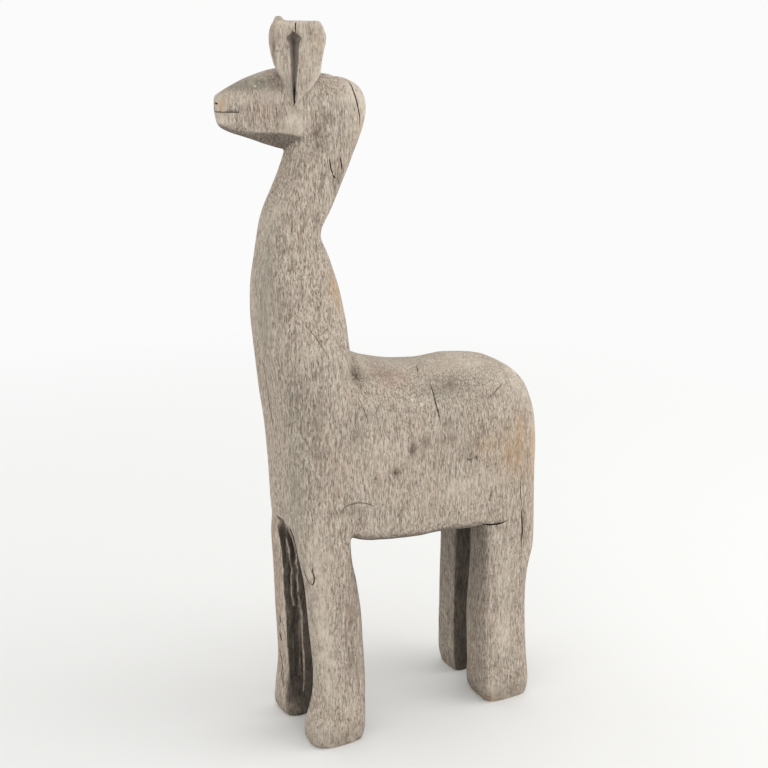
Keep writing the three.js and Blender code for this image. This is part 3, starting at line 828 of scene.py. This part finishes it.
nodeShift = (0.0008, 0.0137, 0)  # metres from this script's frame to the node's
llama = makeForm()
report("blocks joined, %d points" % len(llama.data.vertices))
blendJoins(llama)
report("joins blended")
addRelief(llama)
thin(llama)
report("relief carved")
writeWearAndHollowShade(llama)
addCuts(llama)
writeCuts(llama)
writeAgingAndShade(llama)
report("checks and scratches cut")
placeOnNode(llama)
finishMesh(llama)


def toLinear(hexColour):
    parts = [int(hexColour[k:k + 2], 16) / 255 for k in (1, 3, 5)]
    return tuple(c / 12.92 if c <= 0.04045 else ((c + 0.055) / 1.055) ** 2.4 for c in parts) + (1,)


def addNode(tree, kind, settings=None, links=None):
    # one node with its settings; a link is {input: output socket}
    node = tree.nodes.new("ShaderNode" + kind)
    for key, value in (settings or {}).items():
        if isinstance(key, int) or key in node.inputs:
            node.inputs[key].default_value = value
        else:
            setattr(node, key, value)
    for key, output in (links or {}).items():
        tree.links.new(output, node.inputs[key])
    return node


# Weathered hardwood, oiled once and long dry: matt grey-beige long grain with dark pores
wood = {
    "base": "#B0A292",
    "rough": 0.88,
    "waverWide": 60,  # millimetres between bends of the grain
    "waver": 0.006,
    # across and along the grain in mm, detail, from and to of the noise, strength, tint
    "layers": [
        (44, 100, 2, 0.44, 0.64, 0.6, "#B09A89"),  # pinkish brown
        (58, 90, 2, 0.5, 0.68, 0.5, "#A4A192"),  # grey-green
        (22, 46, 3, 0.5, 0.68, 0.5, "#C2B3A0"),
        (19, 40, 3, 0.5, 0.68, 0.5, "#8F8072"),
        (6.5, 70, 3, 0.5, 0.68, 0.5, "#8A7A6B"),
        (5, 55, 3, 0.5, 0.68, 0.5, "#CBBCAA"),
        (3.2, 30, 2, 0.48, 0.62, 0.55, "#7E6E5F"),
        (3, 26, 2, 0.48, 0.62, 0.6, "#D8CCBC"),
        (1.9, 10, 2, 0.5, 0.64, 0.7, "#73645A"),  # fibres
        (1.8, 9, 2, 0.5, 0.64, 0.7, "#DCD0C1"),
        (1.7, 6, 1, 0.62, 0.7, 0.75, "#54463A"),  # pores, drawn a little coarser than they are
    ],
    "mottle": (7, 15),  # millimetres across and along of the specks that break up each patch
    # what each kind of aging, painted highlight and painted shade leaves, and how much of the wood it hides
    "agingAndShade": [
        ("bleachAndHighlight", "#D8CBBA", 0.75),
        ("mossy", "#979485", 0.65),
        ("rosy", "#AB9081", 0.6),
        ("ochre", "#C09A70", 0.6),
        ("sootAndShade", "#5C4F43", 0.75),
        # painted shade on inner sides and undersides, with the rotten channel's dark wood
        ("shadeAndRot", "#28231E", 0.88),
        # painted shade on the faces of the sawn mouth, nostrils and ear grooves
        ("shadedSawnCuts", "#6E645B", 0.7),
        ("worn", "#7F6E5E", 0.55),
        ("fresh", "#E4DACA", 0.8),
        ("shut", "#46362A", 0.85),
        ("open", "#221A14", 0.95),
    ],
}


def weatheredHardwood():
    material = bpy.data.materials.new("weatheredHardwood")
    material.use_nodes = True
    tree = material.node_tree
    tree.nodes.clear()
    place = addNode(tree, "TexCoord").outputs["Object"]
    bends = addNode(tree, "TexNoise", {"Scale": 1000 / wood["waverWide"], "Detail": 1.0}, {"Vector": place})
    bent = addNode(tree, "VectorMath", {"operation": "MULTIPLY_ADD", 1: (wood["waver"], wood["waver"], 0)},
                   {0: bends.outputs["Color"], 2: place}).outputs[0]
    colour = None
    shares = []
    for k, (wide, long, detail, low, high, strength, tint) in enumerate(wood["layers"]):
        # far apart in the noise, so that no two layers run together
        grain = addNode(tree, "Mapping", {"Location": (7.3 * k, 3.1 * k, 5.7 * k),
                                          "Scale": (1000 / wide, 1000 / wide, 1000 / long)}, {"Vector": bent})
        noise = addNode(tree, "TexNoise", {"Scale": 1.0, "Detail": detail, "Roughness": 0.6},
                        {"Vector": grain.outputs[0]})
        share = addNode(tree, "MapRange", {"From Min": low, "From Max": high, "To Max": strength},
                        {"Value": noise.outputs[0]})
        tinted = addNode(tree, "MixRGB", {"Color1": toLinear(wood["base"]), "Color2": toLinear(tint)},
                         {"Fac": share.outputs[0]})
        if colour:
            tree.links.new(colour, tinted.inputs["Color1"])
        colour = tinted.outputs[0]
        shares.append(share.outputs[0])
    across, along = wood["mottle"]
    specks = addNode(tree, "Mapping", {"Scale": (1000 / across, 1000 / across, 1000 / along)},
                     {"Vector": bent})
    specks = addNode(tree, "TexNoise", {"Scale": 1.0, "Detail": 4.0, "Roughness": 0.7},
                     {"Vector": specks.outputs[0]})
    mottle = addNode(tree, "MapRange", {"From Min": 0.38, "From Max": 0.62, "To Min": 0.35, "To Max": 1.5},
                     {"Value": specks.outputs[0]}).outputs[0]
    for kind, tint, strength in wood["agingAndShade"]:
        value = addNode(tree, "Attribute", {"attribute_name": kind}).outputs["Fac"]
        share = addNode(tree, "Math", {"operation": "MULTIPLY", 1: strength}, {0: value}).outputs[0]
        if kind in ("bleachAndHighlight", "sootAndShade", "mossy", "rosy"):
            share = addNode(tree, "Math", {"operation": "MULTIPLY", "use_clamp": True},
                            {0: share, 1: mottle}).outputs[0]
        colour = addNode(tree, "MixRGB", {"Color2": toLinear(tint)},
                         {"Fac": share, "Color1": colour}).outputs[0]
    sunken = addNode(tree, "Math", {"operation": "ADD"}, {0: shares[8], 1: shares[10]}).outputs[0]
    raised = addNode(tree, "Math", {"operation": "SUBTRACT"}, {0: shares[9], 1: sunken}).outputs[0]
    bump = addNode(tree, "Bump", {"Strength": 0.8, "Distance": 0.0006}, {"Height": raised})
    shader = addNode(tree, "BsdfPrincipled", {"Roughness": wood["rough"], "Specular IOR Level": 0.25},
                     {"Base Color": colour, "Normal": bump.outputs[0]})
    addNode(tree, "OutputMaterial", {}, {"Surface": shader.outputs[0]})
    return material


llama.data.materials.append(weatheredHardwood())
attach(llama, "root")
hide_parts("llama")
report("finish made")

# Studio: pale floor that runs out into a white surround, daylight all round and one broad lamp
studio = {
    "floorTone": "#EFEFED",
    "whiteTone": "#FBFBFB",
    "floorRadius": 9,
    "fade": (0.9, 2.6),  # metres from the middle where the floor passes into white
    "lamps": [  # name, place, aimed at, size, power
        ("windowLamp", (1.3, 2.4, 2.4), (0, 0, 0.5), 2.6, 30),
    ],
}


def makeStudio():
    around = np.arange(64) * 2 * np.pi / 64
    rim = np.stack([np.cos(around), np.sin(around), 0 * around], axis=1) * studio["floorRadius"]
    floor = makePiece("floor", rim, [list(range(64))])
    paper = bpy.data.materials.new("paleFloor")
    paper.use_nodes = True
    tree = paper.node_tree
    tree.nodes.clear()
    place = addNode(tree, "TexCoord").outputs["Object"]
    away = addNode(tree, "VectorMath", {"operation": "LENGTH"}, {0: place}).outputs["Value"]
    low, high = studio["fade"]
    share = addNode(tree, "MapRange", {"From Min": low, "From Max": high}, {"Value": away}).outputs[0]
    matt = addNode(tree, "BsdfDiffuse", {"Color": toLinear(studio["floorTone"])}).outputs[0]
    white = addNode(tree, "Emission", {"Color": toLinear(studio["whiteTone"])}).outputs[0]
    both = addNode(tree, "MixShader", {}, {0: share, 1: matt, 2: white}).outputs[0]
    addNode(tree, "OutputMaterial", {}, {"Surface": both})
    floor.data.materials.append(paper)
    world = bpy.data.worlds.new("studio")
    world.use_nodes = True
    world.node_tree.nodes["Background"].inputs["Color"].default_value = toLinear(studio["whiteTone"])
    bpy.context.scene.world = world


def addLight(name, place, target, size, power):
    data = bpy.data.lights.new(name, "AREA")
    data.shape = "DISK"
    data.size = size
    data.energy = power
    light = bpy.data.objects.new(name, data)
    light.location = place
    light.rotation_euler = (Vector(target) - Vector(place)).to_track_quat("-Z", "Y").to_euler()
    bpy.context.collection.objects.link(light)


def makeCamera():
    data = bpy.data.cameras.new("camera")
    data.sensor_width = view["sensor"]
    data.lens = view["focalPixels"] / view["imageSide"] * view["sensor"]
    camera = bpy.data.objects.new("camera", data)
    around, down = math.radians(view["heading"]), math.radians(view["lookDown"])
    ahead = Vector((-math.sin(around) * math.cos(down), math.cos(around) * math.cos(down), -math.sin(down)))
    camera.rotation_euler = ahead.to_track_quat("-Z", "Y").to_euler()
    camera.location = view["place"]
    bpy.context.collection.objects.link(camera)
    bpy.context.scene.camera = camera


makeStudio()
for lamp in studio["lamps"]:
    addLight(*lamp)
makeCamera()
bpy.context.scene.view_settings.view_transform = "Standard"
report("studio made")
